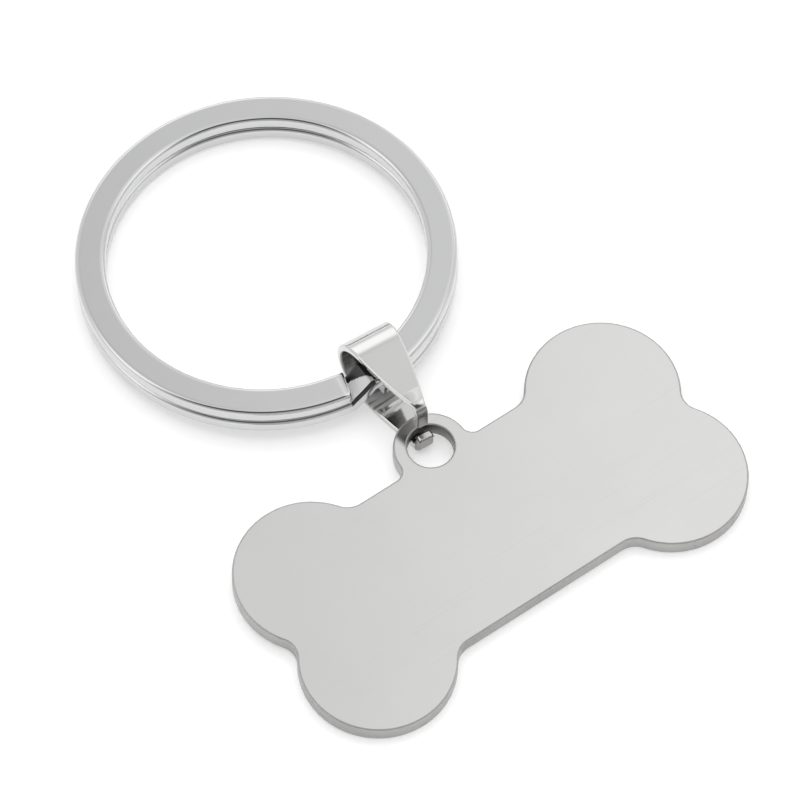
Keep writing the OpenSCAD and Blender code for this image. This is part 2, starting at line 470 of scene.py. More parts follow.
@dataclass
class Finisher:
    """Builds the shared effects once and makes each steel material from them.

    The pairs of edges are values of noise between which an effect grows from nothing to full, and
    the pairs of detail are a noise's detail and roughness.
    """

    grain_detail: Pair = (3.0, 0.6)
    cloud_detail: Pair = (4.0, 0.55)
    cloud_edges: Pair = (0.3, 0.7)
    cloud_scale: float = 140.0
    wave_scale: float = 45.0
    dull_share: float = 0.6
    rough_share: float = 0.6
    painted_light_streak_edges: Pair = (0.50, 0.60)
    scratch_turns: tuple[Pair, ...] = ((0.5, 3.1), (-0.9, 11.7), (1.9, 23.3))
    scratch_stretch: Triple = (60, 5200, 300)
    scratch_shift: Pair = (0.01, 0.02)
    scratch_edges: Pair = (0.70, 0.76)
    # The edge mask below paints worn edges and a painted highlight.
    wear_and_highlight_edges: Pair = (0.99, 0.86)
    rub_scale: float = 900.0
    rub_edges: Pair = (0.35, 0.6)
    least_rub: float = 0.35

    def __post_init__(self) -> None:
        """Builds the shared node groups."""
        self.grain = self._effect("polish_grain", "Scale", "NodeSocketVector", (1, 1, 1),
                                  "Height", self._draw_grain)
        self.scratches = self._effect("hairline_scratches", "Density", "NodeSocketFloat", 0.5,
                                      "Mask", self._draw_scratches)
        self.clouds = self._effect("polish_clouds", "Scale", "NodeSocketFloat", 150.0,
                                   "Mask", self._draw_clouds)
        # Edges: worn edges with a painted highlight.
        self.wear_and_highlight = self._effect("edge_wear_and_painted_highlight", "Radius", "NodeSocketFloat", 0.0001,
                                 "Mask", self._draw_wear_and_painted_highlight)

    @staticmethod
    def _effect(name: str, setting: str, kind: str, default: object, result: str,
                draw: Callable[[Nodes, Socket, Socket], Socket]) -> bpy.types.NodeTree:
        """Builds a shader group that takes Vector and one setting.

        Args:
            name: the group's name.
            setting: the name of its setting.
            kind: the setting's socket type.
            default: the setting's default.
            result: the name of its output, which is a number.
            draw: makes the nodes from the two inputs and gives their result.

        Returns:
            The group.
        """
        tree = bpy.data.node_groups.new(name, "ShaderNodeTree")
        tree.interface.new_socket("Vector", in_out="INPUT", socket_type="NodeSocketVector")
        tree.interface.new_socket(setting, in_out="INPUT",
                                  socket_type=kind).default_value = default
        tree.interface.new_socket(result, in_out="OUTPUT", socket_type="NodeSocketFloat")
        nodes = Nodes(tree)
        given = nodes.add("NodeGroupInput").outputs
        nodes.add("NodeGroupOutput", {result: draw(nodes, given["Vector"], given[setting])})
        return tree

    def _draw_grain(self, nodes: Nodes, vector: Socket, scale: Socket) -> Socket:
        """Fine parallel polishing lines, drawn out along the axis with the smallest scale."""
        stretched = nodes.add("ShaderNodeVectorMath", {0: vector, 1: scale}, operation="MULTIPLY")
        return nodes.noise(stretched.outputs[0], 1.0, *self.grain_detail)

    def _draw_scratches(self, nodes: Nodes, vector: Socket, density: Socket) -> Socket:
        """Sparse hairline scratches in a few directions.

        Args:
            nodes: adds the nodes.
            vector: the place on the piece.
            density: how strongly the scratches show.

        Returns:
            The mask's socket.
        """
        masks = []
        for angle, seed in self.scratch_turns:
            turned = nodes.add("ShaderNodeMapping", {
                "Vector": vector, "Rotation": (0, 0, angle),
                "Location": (*(seed * share for share in self.scratch_shift), 0),
                "Scale": self.scratch_stretch})
            lines = nodes.noise(turned.outputs[0], 1.0, 1.0)
            masks.append(nodes.span(lines, *self.scratch_edges))
        strongest = masks[0]
        for mask in masks[1:]:
            strongest = nodes.math("MAXIMUM", strongest, mask)
        return nodes.math("MULTIPLY", strongest, density)

    def _draw_clouds(self, nodes: Nodes, vector: Socket, scale: Socket) -> Socket:
        """Soft cloudy differences in polish, some millimetres across."""
        return nodes.span(nodes.noise(vector, scale, *self.cloud_detail), *self.cloud_edges)

    def _draw_wear_and_painted_highlight(self, nodes: Nodes, vector: Socket, radius: Socket) -> Socket:
        """Edges worn bright and given a painted highlight, found where a rounded copy of the
        surface turns away from it.

        Args:
            nodes: adds the nodes.
            vector: the place on the piece.
            radius: how far the worn edges and the painted highlight reach from an edge.

        Returns:
            The mask's socket.
        """
        rounded = nodes.add("ShaderNodeBevel", {"Radius": radius}, samples=6)
        plain = nodes.add("ShaderNodeNewGeometry")
        alike = nodes.dot(rounded.outputs["Normal"], plain.outputs["Normal"])
        rubbed_and_highlighted = nodes.noise(vector, self.rub_scale, 2.0)
        patch = nodes.span(rubbed_and_highlighted, *self.rub_edges, low=self.least_rub)
        return nodes.math("MULTIPLY", nodes.span(alike, *self.wear_and_highlight_edges), patch)

    def steel(self, look: SteelLook) -> bpy.types.Material:
        """Makes one steel material.

        Args:
            look: the numbers of the finish.

        Returns:
            The new material.
        """
        material = bpy.data.materials.new(look.name)
        material.use_nodes = True
        shader = material.node_tree.nodes["Principled BSDF"].inputs
        shader["Metallic"].default_value = look.metallic
        nodes = Nodes(material.node_tree)
        vector = nodes.add("ShaderNodeTexCoord").outputs["Object"]

        def place(group: bpy.types.NodeTree, **setting: object) -> Socket:
            """Result of a shared effect, fed with the piece's own coordinates."""
            return nodes.add("ShaderNodeGroup", {"Vector": vector, **setting},
                             node_tree=group).outputs[0]

        marks = place(self.scratches, Density=look.scratches)
        grain = place(self.grain, Scale=look.grain)
        clouds = place(self.clouds, Scale=self.cloud_scale)
        waves = place(self.clouds, Scale=self.wave_scale)
        wear_and_highlight = place(self.wear_and_highlight, Radius=look.edge_radius)

        dulled = nodes.math("MULTIPLY_ADD", clouds, self.dull_share, marks)
        # Painted light: the grain's streak lines lighten the colour where a look asks for them.
        painted_light_streaked = nodes.math("ADD", dulled, nodes.span(grain, *self.painted_light_streak_edges,
                                                        high=look.streaks), use_clamp=True)
        tone = nodes.mix(painted_light_streaked, (*look.colour, 1), (*look.dull, 1), "RGBA")
        # Lighter edges: worn edges and a painted highlight.
        rubbed_and_highlighted = nodes.mix(wear_and_highlight, tone, (*look.edge, 1), "RGBA")
        rough = nodes.span(nodes.math("MULTIPLY_ADD", grain, self.rough_share, marks), 0.0, 1.0,
                           look.rough, look.rough + look.spread)
        waved = nodes.bump(waves, look.wave_height)
        normal = nodes.bump(grain, look.grain_height, Normal=waved)
        for result, label in ((rubbed_and_highlighted, "Base Color"), (rough, "Roughness"), (normal, "Normal")):
            material.node_tree.links.new(result, shader[label])
        return material

    def dress(self, piece: bpy.types.Object, looks: Sequence[SteelLook], place: Matrix,
              finish_of: Callable[[Facet], int]) -> None:
        """Gives a piece its materials and each of its faces one of them.

        Args:
            piece: the finished piece.
            looks: the piece's finishes, in the order of its materials.
            place: the place of the piece's own frame.
            finish_of: picks the number of a face's finish.
        """
        piece.data.materials.clear()
        for look in looks:
            piece.data.materials.append(self.steel(look))
        back = place.inverted()
        turned_back = back.to_3x3()
        for face in piece.data.polygons:
            face.material_index = finish_of(Facet(
                (back @ face.center) / MM, turned_back @ face.normal, len(face.vertices)))


@dataclass
class BoneTag:
    """The blank bone, stamped from sheet, with its ear and hole. Lengths in millimetres."""

    lie: Lie
    length: float = 39.7
    lobe_r: float = 6.1
    waist_w: float = 14.2
    waist_hollow_r: float = 1.8
    end_hollow_r: float = 1.6
    ear_y: float = 7.9
    ear_r: float = 3.0
    ear_hollow_r: float = 0.9
    edge_r: float = 0.14
    edge_steps: int = 3
    arc_step_deg: float = 3.0
    small_arc_r: float = 4.0
    small_arc_share: float = 0.6
    least_arc_steps: int = 4
    drill_steps: int = 120
    drill_depth: float = 6.0
    touching: float = 0.02
    flat_level: float = 0.995
    wall_level: float = 0.1
    looks: tuple[SteelLook, ...] = (
        SteelLook("tag_face_steel", (0.64, 0.64, 0.635), (0.61, 0.61, 0.605), rough=0.09,
                  spread=0.07, grain=(300, 9000, 300), grain_height=0.8e-6, wave_height=1.5e-6),
        # The wall's edges get a painted highlight as well as being worn.
        SteelLook("tag_wall_steel", warm(0.45), warm(0.31), rough=0.36, spread=0.22,
                  grain=(5200, 5200, 420), grain_height=10e-6, wave_height=10e-6,
                  scratches=0.2, edge=warm(0.80)),
        SteelLook("tag_rim_steel", warm(0.52), warm(0.44), rough=0.56, grain_height=4e-6,
                  scratches=0.2),
        # Painted shade: the hole's wall is darker for the shade inside the hole.
        SteelLook("tag_hole_painted_shade_steel", warm(0.20), (0.13, 0.128, 0.125), rough=0.26,
                  grain=(5200, 5200, 420), grain_height=8e-6, wave_height=8e-6,
                  scratches=0.2, edge=warm(0.5)),
    )

    def outline_arcs(self) -> list[tuple[Vector, float, float, float]]:
        """Arcs of the right half of the outline, from the ear's top clockwise.

        Returns:
            Centre, radius, start angle and signed sweep of each arc, in degrees.
        """
        lobe = Vector((self.length / 2 - self.lobe_r, self.lie.tag_w / 2 - self.lobe_r))
        edge = self.waist_w / 2
        ear = Vector((0.0, self.ear_y))
        ear_hollow = Vector((0.0, edge + self.ear_hollow_r))
        ear_hollow.x = math.sqrt((self.ear_r + self.ear_hollow_r) ** 2
                                 - (ear_hollow.y - ear.y) ** 2)
        waist = Vector((0.0, edge + self.waist_hollow_r))
        waist.x = lobe.x - math.sqrt((self.lobe_r + self.waist_hollow_r) ** 2
                                     - (waist.y - lobe.y) ** 2)
        end = Vector((lobe.x + math.sqrt((self.lobe_r + self.end_hollow_r) ** 2 - lobe.y ** 2),
                      0.0))

        def heading(start: Vector, stop: Vector) -> float:
            """Direction from one point to another, in degrees."""
            return math.degrees(math.atan2(stop.y - start.y, stop.x - start.x))

        ear_side = heading(ear, ear_hollow)
        lobe_top = heading(lobe, waist)
        lobe_end = heading(lobe, end)
        low_lobe = Vector((lobe.x, -lobe.y))
        low_waist = Vector((waist.x, -waist.y))
        return [
            (ear, self.ear_r, 90.0, ear_side - 90.0),
            (ear_hollow, self.ear_hollow_r, ear_side + 180.0, 270.0 - (ear_side + 180.0)),
            (waist, self.waist_hollow_r, 270.0, (lobe_top + 180.0) - 270.0),
            (lobe, self.lobe_r, lobe_top, lobe_end - lobe_top),
            (end, self.end_hollow_r, lobe_end + 180.0, -2.0 * lobe_end),
            (low_lobe, self.lobe_r, -lobe_end, lobe_end - lobe_top),
            (low_waist, self.waist_hollow_r, 180.0 - lobe_top, lobe_top - 90.0),
        ]

    def build(self) -> bpy.types.Object:
        """Models the bone: arcs spun from one corner, filled, thickened, drilled and rounded.

        Returns:
            The finished piece, in place.
        """
        Bench.clear()
        bpy.ops.mesh.primitive_plane_add(size=1 * MM, location=(0, 0, 0))
        tag = Bench.added("bone_tag_polished")
        with Bench.editing(tag, "VERT"):
            bpy.ops.mesh.select_all(action="SELECT")
            bpy.ops.mesh.merge(type="CENTER")
            here = Vector((0, self.ear_y + self.ear_r)) * MM
            bpy.ops.transform.translate(value=(here.x, here.y, 0))
            for arc in self.outline_arcs():
                here = self._draw_arc(here, *arc)
            Bench.extrude(-here.x, -self.waist_w / 2 * MM - here.y, 0)
        Bench.modify(tag, "MIRROR", use_axis=(True, False, False), use_mirror_merge=True,
                     merge_threshold=MIRROR_WELD)
        with Bench.editing(tag, "VERT"):
            bpy.ops.mesh.select_all(action="SELECT")
            bpy.ops.mesh.remove_doubles(threshold=MIRROR_WELD)
            bpy.ops.mesh.edge_face_add()
            bpy.ops.mesh.select_all(action="SELECT")
            Bench.extrude(0, 0, self.lie.tag_t * MM)
            Bench.face_outwards()
        self._drill(tag)
        Bench.round_sharp_edges(tag, self.edge_r * MM, self.edge_steps)
        Bench.settle(tag, self.lie.tag_place())
        return tag

    def _draw_arc(self, here: Vector, centre: Vector, radius: float, start: float,
                  sweep: float) -> Vector:
        """Draws the outline on to the start of an arc and along it.

        Args:
            here: where the outline has come to, in metres.
            centre: the arc's centre, in millimetres.
            radius: the arc's radius, in millimetres.
            start: its first angle, in degrees.
            sweep: how far it turns counter-clockwise, in degrees.

        Returns:
            The arc's end, in metres.
        """
        def on_arc(degrees: float) -> Vector:
            """Point of the arc's circle, in metres."""
            turned = math.radians(degrees)
            return (centre + Vector((math.cos(turned), math.sin(turned))) * radius) * MM

        gap = on_arc(start) - here
        if gap.length > self.touching * MM:
            Bench.extrude(gap.x, gap.y, 0)
        finer = 1.0 if radius > self.small_arc_r else self.small_arc_share
        steps = max(self.least_arc_steps, round(abs(sweep) * finer / self.arc_step_deg))
        for _ in range(steps):
            Bench.extrude(0, 0, 0)
            Bench.turn(math.radians(sweep / steps), "Z", (centre.x * MM, centre.y * MM, 0))
        return on_arc(start + sweep)

    def _drill(self, tag: bpy.types.Object) -> None:
        """Drills the round hole through the ear.

        Args:
            tag: the solid bone.
        """
        Bench.clear()
        bpy.ops.mesh.primitive_cylinder_add(
            vertices=self.drill_steps, radius=self.lie.hole_r * MM, depth=self.drill_depth * MM,
            location=(0, self.lie.hole_y * MM, self.lie.tag_t / 2 * MM))
        drill = Bench.added("drill")
        Bench.modify(tag, "BOOLEAN", operation="DIFFERENCE", object=drill, solver="EXACT")
        bpy.data.objects.remove(drill)

    def dress(self, tag: bpy.types.Object, finisher: Finisher) -> None:
        """Gives the faces, the stamped wall, the rims and the hole their finishes, with painted
        shade in the hole.
        """
        finisher.dress(tag, self.looks, self.lie.tag_place(), self._finish_of)

    def _finish_of(self, face: Facet) -> TagFinish:
        """Picks the finish of a face.

        Args:
            face: a face of the finished piece.

        Returns:
            The finish.
        """
        level = abs(face.normal.z)
        if level > self.flat_level:
            return TagFinish.FACE
        # Painted shade on the hole's wall.
        if (math.hypot(face.spot.x, face.spot.y - self.lie.hole_y)
                < self.lie.hole_r + self.touching):
            return TagFinish.HOLE
        return TagFinish.RIM if level > self.wall_level else TagFinish.WALL


@dataclass(frozen=True)
class Prong:
    """One narrow end of the bail's strip, bent into the hole. Lengths in millimetres."""

    width: float
    height: float
    from_hole: float
    side: float = 0.0


@dataclass
class SnapBail:
    """The folded strip with its two prongs. Lengths in millimetres."""

    lie: Lie
    width: float = 4.4
    taper_r: float = 32.0
    taper_past: float = 4.7
    upper_prong: Prong = Prong(width=0.95, height=2.7, from_hole=1.05)
    lower_prong: Prong = Prong(width=1.3, height=2.15, from_hole=0.75, side=0.15)
    bend_r: float = 1.1
    corner_r: float = 0.34
    corner_steps: int = 5
    edge_r: float = 0.16
    edge_steps: int = 4
    prong_steps: int = 4
    bend_steps: int = 12
    leg_steps: int = 16
    fold_steps: int = 24
    # Start of the scuffed strip with painted light, along the bail.
    scuffed_painted_light_y: float = 5.7
    bend_share: float = 0.3
    ground_level: float = 0.3
    ground_z: Pair = (1.5, 3.0)
    inner_level: float = 0.55
    touching: float = 0.01
    looks: tuple[SteelLook, ...] = (
        SteelLook("bail_bright_steel", (0.64, 0.64, 0.635), (0.61, 0.61, 0.605), rough=0.07,
                  spread=0.05, grain=(500, 6000, 500), grain_height=0.6e-6, wave_height=1.5e-6),
        # Painted shade: dark steel for the shaded inside of the fold and the prongs.
        SteelLook("bail_roof_painted_shade_steel", warm(0.32), warm(0.24), rough=0.20, spread=0.12,
                  grain=(500, 6000, 500), wave_height=2e-6),
        SteelLook("bail_ground_steel", warm(0.62), warm(0.48), rough=0.20, spread=0.14,
                  grain=(160, 2600, 400), grain_height=40e-6, scratches=0.4),
        # Painted light: near-white, mostly matt and streaky, so the shaded strip under the ring
        # shows light streak lines.
        SteelLook("bail_scuffed_painted_light_steel", warm(0.98), warm(0.25), rough=0.24,
                  grain=(160, 2400, 400), grain_height=90e-6, scratches=0.2, metallic=0.2,
                  streaks=0.9),
    )

    def half_width(self, along: float, prong: Prong) -> float:
        """Half the strip's width at a distance from the hole.

        Args:
            along: distance from the hole's centre, along the bail.
            prong: the prong that the strip ends in.

        Returns:
            The half width.
        """
        past = along - self.lie.fold_y - self.taper_past
        lens = math.sqrt(self.taper_r ** 2 - past ** 2) - self.taper_r + self.width / 2
        return max(lens, prong.width / 2)

    def leg(self, prong: Prong) -> list[Station]:
        """Middle line of the lower half of a strip, from a prong's tip to the fold's middle.

        Args:
            prong: the prong that the half ends in.

        Returns:
            Middle point, heading in degrees and half width of each station.
        """
        mid = self.lie.strip / 2
        bend = self.bend_r - mid
        bend_y = prong.from_hole + self.bend_r
        loop = self.lie.bail_h / 2 - mid
        out: list[Station] = []
        for i in range(self.prong_steps + 1):
            z = prong.height + (self.bend_r - prong.height) * i / self.prong_steps
            out.append((Vector((prong.side, prong.from_hole + mid, z)), -90.0, prong.width / 2))
        for i in range(1, self.bend_steps + 1):
            turn = math.radians(90 * i / self.bend_steps)
            y = bend_y - bend * math.cos(turn)
            place = Vector((prong.side * (1 - i / self.bend_steps), y,
                            self.bend_r - bend * math.sin(turn)))
            out.append((place, -90 + 90 * i / self.bend_steps, self.half_width(y, prong)))
        for i in range(1, self.leg_steps + 1):
            y = bend_y + (self.lie.fold_y - bend_y) * i / self.leg_steps
            out.append((Vector((0, y, mid)), 0.0, self.half_width(y, prong)))
        for i in range(1, self.fold_steps + 1):
            heading = 90 * i / self.fold_steps
            turn = math.radians(heading)
            y = self.lie.fold_y + loop * math.sin(turn)
            place = Vector((0, y, self.lie.bail_h / 2 - loop * math.cos(turn)))
            out.append((place, heading, self.half_width(y, prong)))
        return out

    def stations(self) -> list[Station]:
        """Middle line of the strip, from the lower prong's tip to the upper one's.

        Returns:
            Middle point, heading in degrees and half width of each station.
        """
        upper = [(Vector((p.x, p.y, self.lie.bail_h - p.z)), 180 - heading, half)
                 for p, heading, half in reversed(self.leg(self.upper_prong)[:-1])]
        return self.leg(self.lower_prong) + upper

    def build(self) -> bpy.types.Object:
        """Models the bail: one end face pulled along the strip's folded middle line.

        Returns:
            The finished piece, in place.
        """
        Bench.clear()
        points = self.stations()
        start, _, half = points[0]
        bpy.ops.mesh.primitive_plane_add(size=1 * MM, location=tuple(start * MM))
        bail = Bench.added("snap_bail_polished")
        with Bench.editing(bail, "FACE"):
            bpy.ops.mesh.select_all(action="SELECT")
            Bench.resize((2 * half, self.lie.strip, 1), start * MM)
            for (p0, h0, w0), (p1, h1, w1) in zip(points, points[1:]):
                Bench.extrude(*((p1 - p0) * MM))
                if h1 != h0:
                    Bench.turn(math.radians(h1 - h0), "X", p1 * MM)
                Bench.resize((w1 / w0, 1, 1), p1 * MM)
            Bench.face_outwards()
        self._round_tips(bail)
        Bench.round_sharp_edges(bail, self.edge_r * MM, self.edge_steps, held_back=False)
        Bench.settle(bail, self.lie.bail_place())
        return bail

    def _round_tips(self, bail: bpy.types.Object) -> None:
        """Rounds the corners of both prongs' tips, seen from the front.

        Args:
            bail: the swept strip, before it is turned into place.
        """
        near = self.touching * MM
        tips = (self.lower_prong.height * MM,
                (self.lie.bail_h - self.upper_prong.height) * MM)
        points = [bail.matrix_world @ v.co for v in bail.data.vertices]

        def at_tip(edge: bpy.types.MeshEdge) -> bool:
            """Says whether an edge runs through the strip at one of the tips."""
            first, second = (points[i] for i in edge.vertices)
            level = any(abs(first.z - tip) < near and abs(second.z - tip) < near for tip in tips)
            return level and abs(first.x - second.x) < near

        with Bench.picking(bail, "EDGE", at_tip):
            Bench.bevel(self.corner_r * MM, self.corner_steps)

    def dress(self, bail: bpy.types.Object, finisher: Finisher) -> None:
        """Gives the outside, the roof with its painted shade, the ground tips and the scuffed strip
        with its painted light their finishes.
        """
        finisher.dress(bail, self.looks, self.lie.bail_place(), self._finish_of)

    def _finish_of(self, face: Facet) -> BailFinish:
        """Picks the finish of a face.

        Args:
            face: a face of the finished piece.

        Returns:
            The finish: bright outside and on the lower leg, roof with painted shade for the dark
                inside of the fold and the prongs, ground for their tips, scuffed with painted
                light, lighter and streaky, for the strip under the ring.
        """
        centre, normal = face.spot, face.normal
        # Painted shade on the prongs, apart from their ground tips.
        if centre.y < self.upper_prong.from_hole + self.bend_r * self.bend_share:
            low, high = self.ground_z
            at_tip = normal.z > self.ground_level and low < centre.z < high
            return BailFinish.GROUND if at_tip else BailFinish.ROOF
        middle = Vector((0, min(centre.y, self.lie.fold_y), self.lie.bail_h / 2))
        toward = (middle - Vector((0, centre.y, centre.z))).normalized()
        if Vector((0, normal.y, normal.z)).dot(toward) <= self.inner_level:
            return BailFinish.BRIGHT
        # Painted shade on the inside of the fold.
        if centre.z > self.lie.strip * 2:
            return BailFinish.ROOF
        return BailFinish.SCUFFED if centre.y > self.scuffed_painted_light_y else BailFinish.BRIGHT


@dataclass
class SplitRing:
    """The flat-wire ring of two coils with its step. Lengths in millimetres."""

    lie: Lie
    upper_end: float = 3.4
    lower_end: float = 0.6
    step_foot: float = 0.1
    step: float = 2.0
    step_ease: float = 0.14
    # Where the painted shade lies on the step.
    shade_rise: float = 0.26
    shade_start: float = -0.55
    shade_end: float = 2.3
    shade_corner: float = 0.8
    under_level: float = -0.5
    top_level: float = 0.2
    cut_slant_deg: float = 9.0
    cut_lean_deg: float = 6.0
    end_edge_r: float = 0.09
    end_edge_steps: int = 2
    end_corners: int = 8
    turn_steps: int = 168
    step_steps: int = 32
    corner_steps: int = 6
    across_steps: int = 8
    looks: tuple[SteelLook, ...] = (
        SteelLook("ring_bright_steel", (0.635, 0.635, 0.64), (0.605, 0.605, 0.61), rough=0.10,
                  spread=0.06, grain_height=0.6e-6, wave_height=1.5e-6),
        # Painted light: the cut ends are rough as sheared steel, and painted lighter than steel for
        # what mirrors them.
        SteelLook("ring_sheared_painted_light_steel", warm(0.90, 0), warm(0.78, 0), rough=0.50,
                  grain=(900, 900, 5200), grain_height=10e-6),
        # Painted light: the step's slope is lighter and half matt, standing in for its bright
        # reflection.
        SteelLook("ring_pressed_painted_light_steel", warm(0.92, 0), warm(0.82, 0), rough=0.58, spread=0.12,
                  wave_height=6e-6, metallic=0.5),
        # Painted shade: near-black steel where the step lies in the fold's shade.
        SteelLook("ring_painted_shade_steel", warm(0.07, 0.001), warm(0.05, 0.001), rough=0.30,
                  wave_height=6e-6, edge=(0.12, 0.118, 0.115)),
        # Painted light: lighter steel on the shaded underside at the step.
        SteelLook("ring_under_painted_light_steel", warm(0.90, 0), warm(0.80, 0), rough=0.24, spread=0.12,
                  wave_height=6e-6),
    )

    @property
    def mid_r(self) -> float:
        """Radius of the wire's middle line."""
        return self.lie.ring_r - self.lie.wire_w / 2

    def angle(self, length: float) -> float:
        """Angle of an arc along the middle of the wire, in radians."""
        return length / self.mid_r

    def section(self) -> list[Pair]:
        """Points of the wire's section, which is flat with round corners.

        Returns:
            Radial and axial offsets from the section's middle, in order round it.
        """
        c = self.lie.wire_corner
        half_w, half_t = self.lie.wire_w / 2, self.lie.wire_t / 2
        quarter: list[Pair] = []
        for i in range(self.corner_steps + 1):
            a = math.pi / 2 * i / self.corner_steps
            quarter.append((half_w - c + c * math.cos(a), half_t - c + c * math.sin(a)))
        for i in range(1, self.across_steps):
            quarter.append(((half_w - c) * (1 - i / self.across_steps), half_t))
        top = quarter + [(0.0, half_t)] + [(-x, y) for x, y in reversed(quarter)]
        return top + [(-x, -y) for x, y in top]

    def descent(self, t: float) -> Pair:
        """Shape of the step, which is straight apart from a soft bend at each end.

        Args:
            t: how far along the step, from 0 to 1.

        Returns:
            The share of the height that is behind, and the slope there.
        """
        ease = self.step_ease
        near = min(t, 1 - t)
        if near < ease:
            bent = near * near / (2 * ease * (1 - ease))
            return (bent if t < 0.5 else 1 - bent), near / (ease * (1 - ease))
        return (t - ease / 2) / (1 - ease), 1 / (1 - ease)

    def build(self) -> bpy.types.Object:
        """Models the ring: one end face spun round twice, with the step in between.

        The upper coil's cut end is made at an angle of zero and turned into place afterwards.

        Returns:
            The finished piece, in place.
        """
        lie = self.lie
        foot, head = self.angle(self.step_foot), self.angle(self.step_foot + self.step)
        low_end = self.angle(self.upper_end - self.lower_end)
        upper_z = (lie.coil_gap + lie.wire_t) / 2
        section = self.section()
        mesh = bpy.data.meshes.new("split_ring_polished")
        mesh.from_pydata([((self.mid_r + x) * MM, 0, (upper_z + y) * MM) for x, y in section],
                         [], [list(range(len(section)))])
        ring = bpy.data.objects.new("split_ring_polished", mesh)
        bpy.context.scene.collection.objects.link(ring)
        with Bench.editing(ring, "FACE"):
            bpy.ops.mesh.select_all(action="SELECT")
            self._spin(2 * math.pi - head)
            self._step_down(head, foot, upper_z)
            self._spin(2 * math.pi + foot - low_end)
        self._cut(ring, upper_z)
        Bench.settle(ring, self.place())
        return ring

    def _spin(self, angle: float) -> None:
        """Spins the selected end round the ring's axis, clockwise seen from above."""
        bpy.ops.mesh.spin(steps=self.turn_steps, angle=angle, center=(0, 0, 0), axis=(0, 0, 1))

    def _step_down(self, head: float, foot: float, upper_z: float) -> None:
        """Pulls the selected end down the step, from the upper coil to the lower one.

        Args:
            head: angle at which the step begins, in radians.
            foot: angle at which it ends.
            upper_z: height of the upper coil's middle.
        """
        pitch = self.lie.wire_t + self.lie.coil_gap
        angle, z, tall = head, upper_z, 1.0
        for i in range(1, self.step_steps + 1):
            t = i / self.step_steps
            fallen, slope = self.descent(t)
            new_z, new_tall = upper_z - pitch * fallen, math.hypot(1, pitch * slope / self.step)
            new_angle = head - (head - foot) * t
            Bench.extrude(0, 0, (new_z - z) * MM)
            Bench.turn(new_angle - angle, "Z", (0, 0, 0))
            Bench.resize((1, 1, new_tall / tall),
                         (self.mid_r * MM * math.cos(new_angle),
                          self.mid_r * MM * math.sin(new_angle), new_z * MM))
            angle, z, tall = new_angle, new_z, new_tall

    def place(self) -> Matrix:
        """Place of the ring as it is made, with the upper coil's cut end on its own X axis."""
        crossing = math.atan2(self.lie.fold_y - self.lie.ring_y, self.lie.ring_shift)
        return (self.lie.ring_place()
                @ Matrix.Rotation(crossing - self.angle(self.upper_end), 4, "Z"))

    def _cut(self, ring: bpy.types.Object, upper_z: float) -> None:
        """Leans the upper coil's cut end, as shears leave it, and breaks both ends' edges.

        Args:
            ring: the ring, before it is turned into place.
            upper_z: height of the upper coil's middle.
        """
        outer = (self.lie.ring_r * MM, 0, upper_z * MM)

        def is_end(face: bpy.types.MeshPolygon) -> bool:
            """Says whether a face is a cut end of the wire, which has a corner per point."""
            return len(face.vertices) > self.end_corners

        with Bench.picking(ring, "FACE", lambda face: is_end(face) and face.center.z > 0
                           and abs(face.center.y) < WELD):
            Bench.turn(-math.radians(self.cut_slant_deg), "Z", outer)
            Bench.turn(-math.radians(self.cut_lean_deg), "X", outer)
        with Bench.picking(ring, "FACE", is_end):
            bpy.ops.mesh.region_to_loop()
            Bench.bevel(self.end_edge_r * MM, self.end_edge_steps)

    def dress(self, ring: bpy.types.Object, finisher: Finisher) -> None:
        """Gives the rolled wire, its cut ends and its pressed step their finishes, with painted
        light and painted shade at the step.
        """
        finisher.dress(ring, self.looks, self.place(), self._finish_of)

    def _finish_of(self, face: Facet) -> RingFinish:
        """Picks the finish of a face.

        Args:
            face: a face of the finished piece.

        Returns:
            The finish: sheared and painted lighter as painted light for the cut ends, and bright
                for the wire, apart from the step. There it is pressed and painted lighter as
                painted light on the slope, painted shade on its inner side and outer corner, and
                painted lighter as painted light on the underside that rubs on the bail.
        """
        # Cut ends: sheared roughness, with painted light.
        if face.corners > self.end_corners:
            return RingFinish.SHEARED
        centre, normal = face.spot, face.normal
        along = math.atan2(centre.y, centre.x) * self.mid_r
        if not 0 < along < 2 * self.upper_end:
            return RingFinish.BRIGHT
        # Painted light on the underside at the step.
        if normal.z < self.under_level:
            return RingFinish.UNDER
        if along > self.shade_end or normal.z < self.top_level:
            return RingFinish.BRIGHT
        outward = math.hypot(centre.x, centre.y) - self.mid_r
        inner_side = outward < self.shade_start + self.shade_rise * along ** 2
        outer_corner = self.lie.wire_w / 2 - self.lie.wire_corner * self.shade_corner
        # Painted shade on the inner side and outer corner.
        if inner_side or outward > outer_corner:
            return RingFinish.HOLLOW
        # Painted light on the step's slope.
        on_step = along < self.step_foot + self.step
        return RingFinish.PRESSED if on_step else RingFinish.BRIGHT


def pointing(turned: float, rise: float) -> Vector:
    """Direction that is turned clockwise from the Y axis and raised, in degrees."""
    yaw, up = math.radians(turned), math.radians(rise)
    return Vector((math.sin(yaw) * math.cos(up), math.cos(yaw) * math.cos(up), math.sin(up)))


@dataclass(frozen=True)
class Lamp:
    """A round soft lamp behind the tent's cloth, in degrees from the camera's heading."""

    turned: float
    rise: float
    reach: float
    soft: float
    tone: float

    def glow(self, nodes: Nodes, where: Socket, heading: float) -> Socket:
        """What the lamp adds to the tent's tone in each direction.

        Args:
            nodes: adds the nodes.
            where: the direction's socket.
            heading: the camera's heading, in degrees.

        Returns:
            The tone's socket.
        """
        facing = nodes.dot(where, pointing(heading + self.turned, self.rise))
        edges = tuple(math.cos(math.radians(a)) for a in (self.reach, self.reach - self.soft))
        return nodes.step(facing, edges, 0.0, self.tone)


